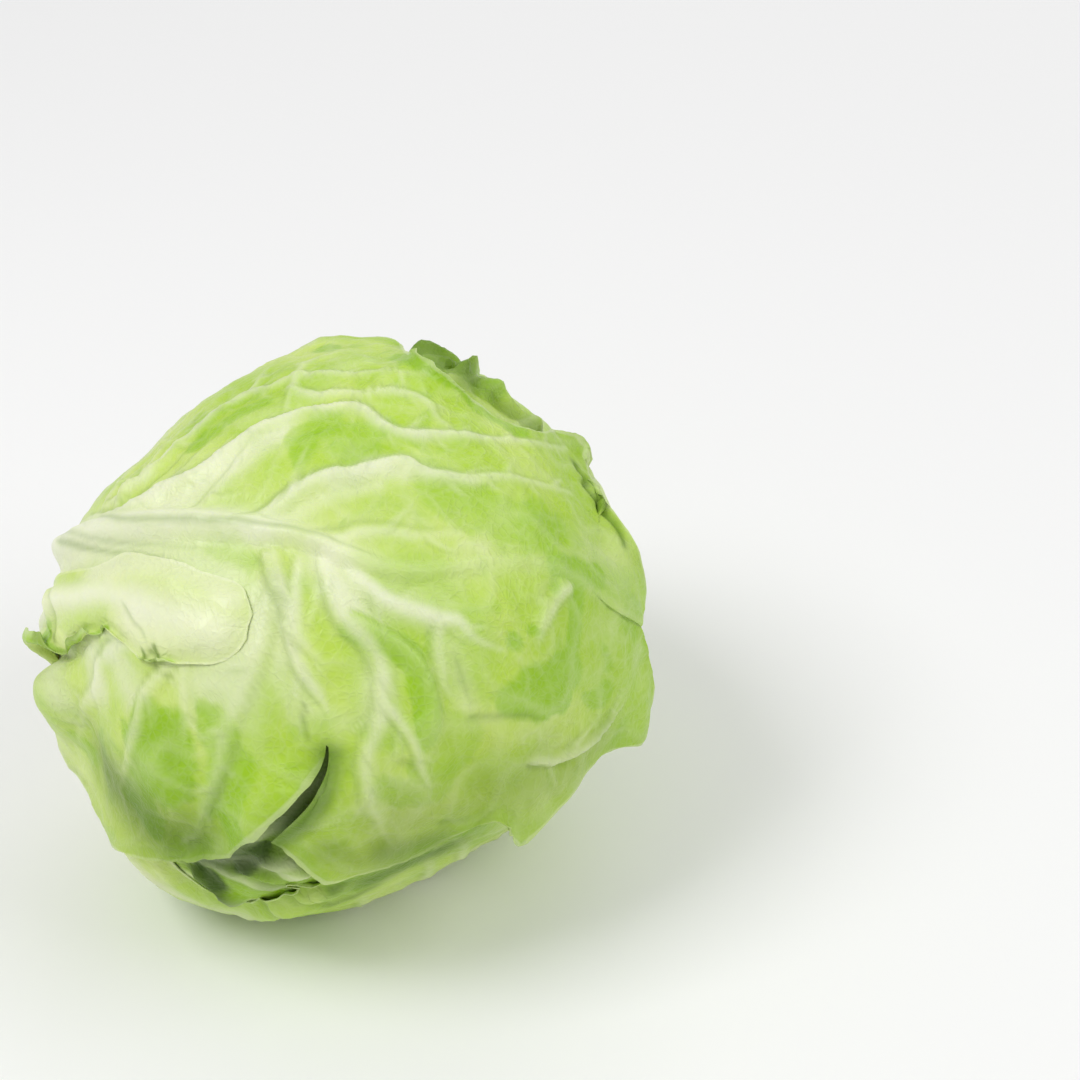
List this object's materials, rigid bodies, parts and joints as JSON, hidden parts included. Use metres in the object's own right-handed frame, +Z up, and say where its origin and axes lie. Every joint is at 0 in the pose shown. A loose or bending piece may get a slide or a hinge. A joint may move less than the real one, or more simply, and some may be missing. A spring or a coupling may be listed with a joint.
{
  "type": "cabbage head",
  "caption": "Whole head of green cabbage lying on its side: a dense heart on a cut stem, wrapped in ribbed leaves, one of them torn.",
  "frame": {"origin": "centre of the bounding box's footprint, on the floor the head rests on", "axes": "+Z up, and the shortest side; the cut stem points to -X, +Y and slightly down; -Y is the front"},
  "size_m": [0.2008, 0.2001, 0.1747],
  "materials": {
    "heart_leaf": "pale waxy leaf, packed tight",
    "stem": "pale, firm, cut flat",
    "inner_leaf": "fresh green leaf with a soft waxy sheen",
    "wrapper_leaf": "yellow-green leaf with pale raised ribs and a soft waxy sheen",
    "leaf_base": "very pale thick leaf base with a torn green margin"
  },
  "bodies": {
    "root": {"heart": "heart_leaf", "stem": "stem", "inner_leaf_over_crown": "inner_leaf", "inner_leaf_back": "inner_leaf", "wrapper_leaf_back": "wrapper_leaf", "inner_leaf_front": "inner_leaf", "wrapper_leaf_underneath": "wrapper_leaf", "wrapper_leaf_front": "wrapper_leaf", "torn_leaf_base": "leaf_base"}
  },
  "joints": []
}
